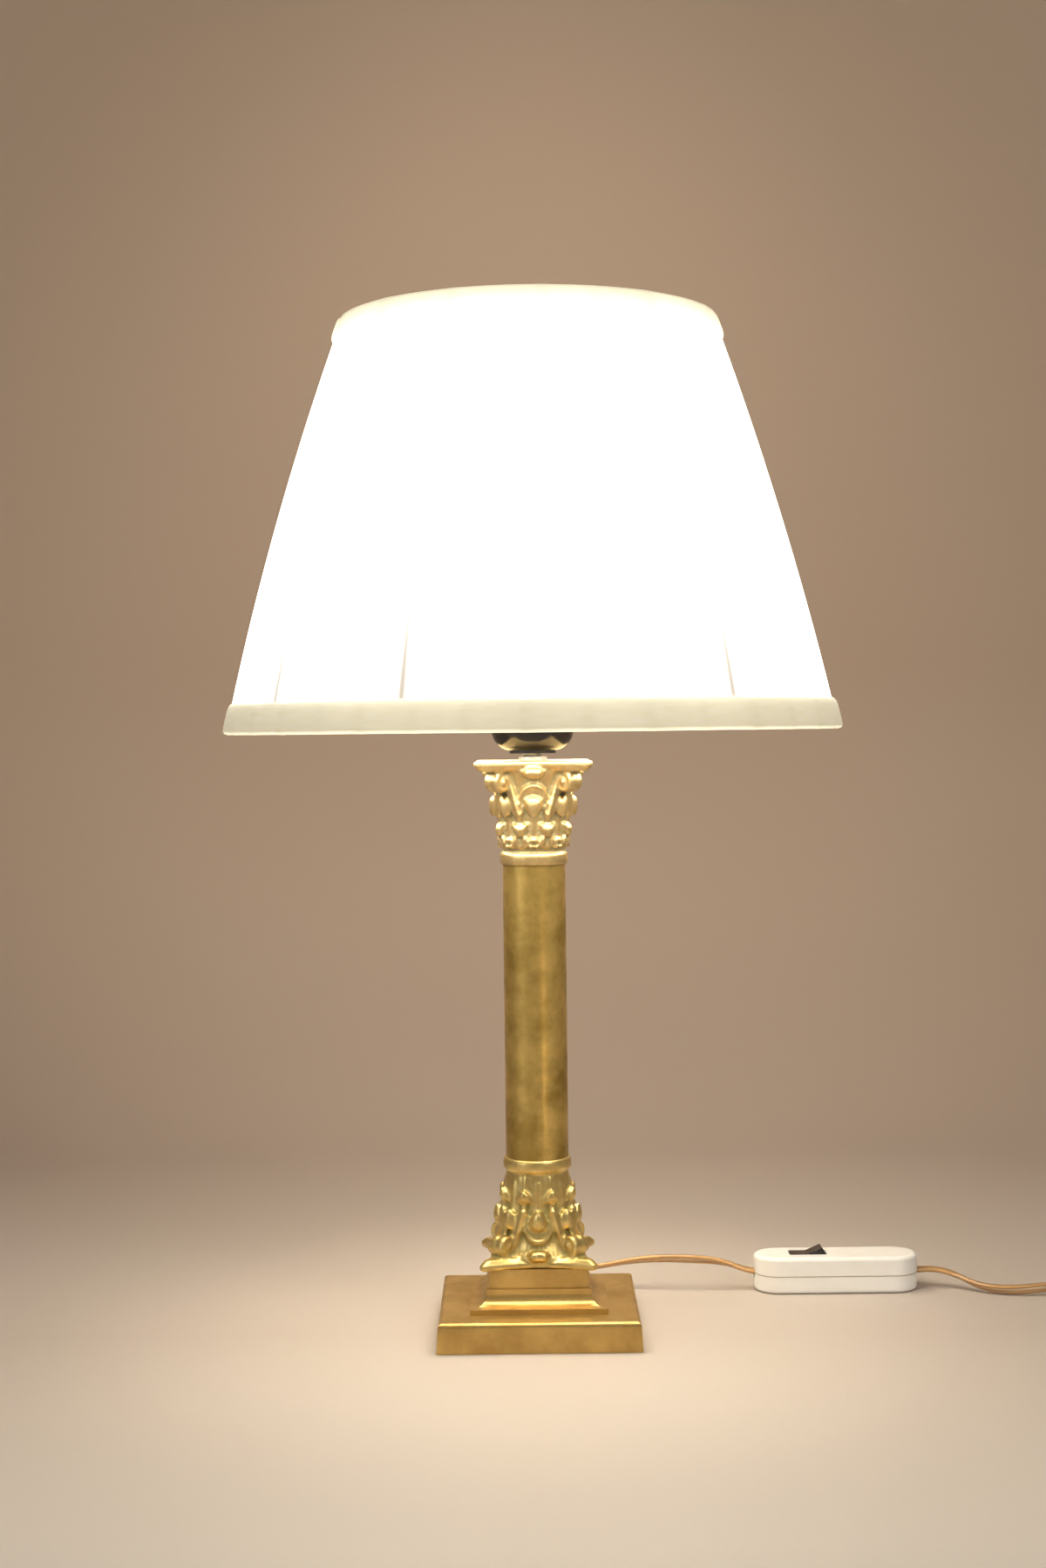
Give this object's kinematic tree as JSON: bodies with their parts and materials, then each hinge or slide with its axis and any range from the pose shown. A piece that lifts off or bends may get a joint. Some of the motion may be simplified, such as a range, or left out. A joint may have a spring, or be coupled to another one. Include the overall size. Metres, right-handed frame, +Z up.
{
  "type": "column table lamp",
  "caption": "Table lamp with a square brass base, a brass column between two leaf capitals, a conical cloth shade and a switched cord.",
  "frame": {"origin": "centre of the square base, on the table", "axes": "+X to the right and +Y to the back as seen in the picture, +Z up the column"},
  "size_m": [0.5048, 0.3038, 0.4972],
  "materials": {
    "brass_slab": "satin antique brass, warm brown-gold",
    "brass_cast": "cast brass with darkened recesses",
    "brass_tube": "drawn brass tube, lightly aged lacquer",
    "brass_contact": "bare contact brass",
    "felt": "dark green felt",
    "zinc": "zinc-plated steel",
    "bakelite": "glossy black moulding",
    "ceramic": "white glazed insulator",
    "shade_cloth": "ivory cloth, lit from inside",
    "trim_cloth": "greenish ivory bias ribbon",
    "frame_wire": "white lacquered steel wire",
    "bulb_glass": "opal glass",
    "bulb_metal": "aluminium screw cap",
    "switch_white": "cream-white moulded housing",
    "switch_black": "glossy black rocker",
    "cord_pvc": "clear sheath over copper strands",
    "plug_white": "white moulded plug",
    "tungsten": "thin wire"
  },
  "bodies": {
    "stand": {"base_slab": "brass_slab", "base_felt": "felt", "base_moulding": "brass_slab", "cord_bushing": "bakelite", "foot_casting": "brass_cast", "column_tube": "brass_tube", "top_capital": "brass_cast", "threaded_rod": "zinc", "clamp_washer": "zinc", "lock_washer": "zinc", "rod_nut": "zinc", "capital_locknut": "brass_tube", "holder_lower_cap": "bakelite", "holder_upper_shell": "bakelite", "holder_contact_block": "ceramic", "holder_terminal_screws": "brass_contact", "holder_screw_shell": "brass_contact", "holder_centre_contact": "brass_contact", "inner_cord": "cord_pvc", "cord_lead": "cord_pvc", "switch_base": "switch_white", "switch_cover": "switch_white", "switch_screws": "zinc", "switch_contacts": "brass_contact", "cord_main": "cord_pvc", "cord_coil": "cord_pvc", "cord_tail": "cord_pvc", "plug_body": "plug_white", "plug_pin_sleeves": "switch_black", "plug_pins": "brass_contact"},
    "rocker": {"switch_rocker": "switch_black"},
    "bulb": {"bulb_tip_contact": "brass_contact", "bulb_insulator": "bakelite", "bulb_cap": "bulb_metal", "bulb_glass": "bulb_glass", "bulb_stem": "bulb_glass", "bulb_filament": "tungsten"},
    "shade": {"fitter_ring": "frame_wire", "fitter_spokes": "frame_wire", "shade_bottom_ring": "frame_wire", "shade_top_ring": "frame_wire", "shade_ribs": "frame_wire", "shade_fabric": "shade_cloth", "shade_bottom_trim": "trim_cloth", "shade_top_trim": "trim_cloth"},
    "clamp_ring": {"shade_clamp_ring": "bakelite"}
  },
  "joints": [
    {"name": "rocker_tilt", "type": "hinge", "parent": "stand", "child": "rocker", "pos_m": [0.1422, 0.068, 0.01607], "axis": [0, 1, 0], "range_deg": [0, 24]},
    {"name": "bulb_unscrew", "type": "slide", "parent": "stand", "child": "bulb", "axis": [0, 0, 1], "range_m": [0, 0.026]},
    {"name": "shade_turn", "type": "hinge", "parent": "stand", "child": "shade", "pos_m": [0, 0, 0.3119], "axis": [0, 0, 1], "continuous": true},
    {"name": "clamp_unscrew", "type": "slide", "parent": "stand", "child": "clamp_ring", "axis": [0, 0, 1], "range_m": [0, 0.012]}
  ]
}
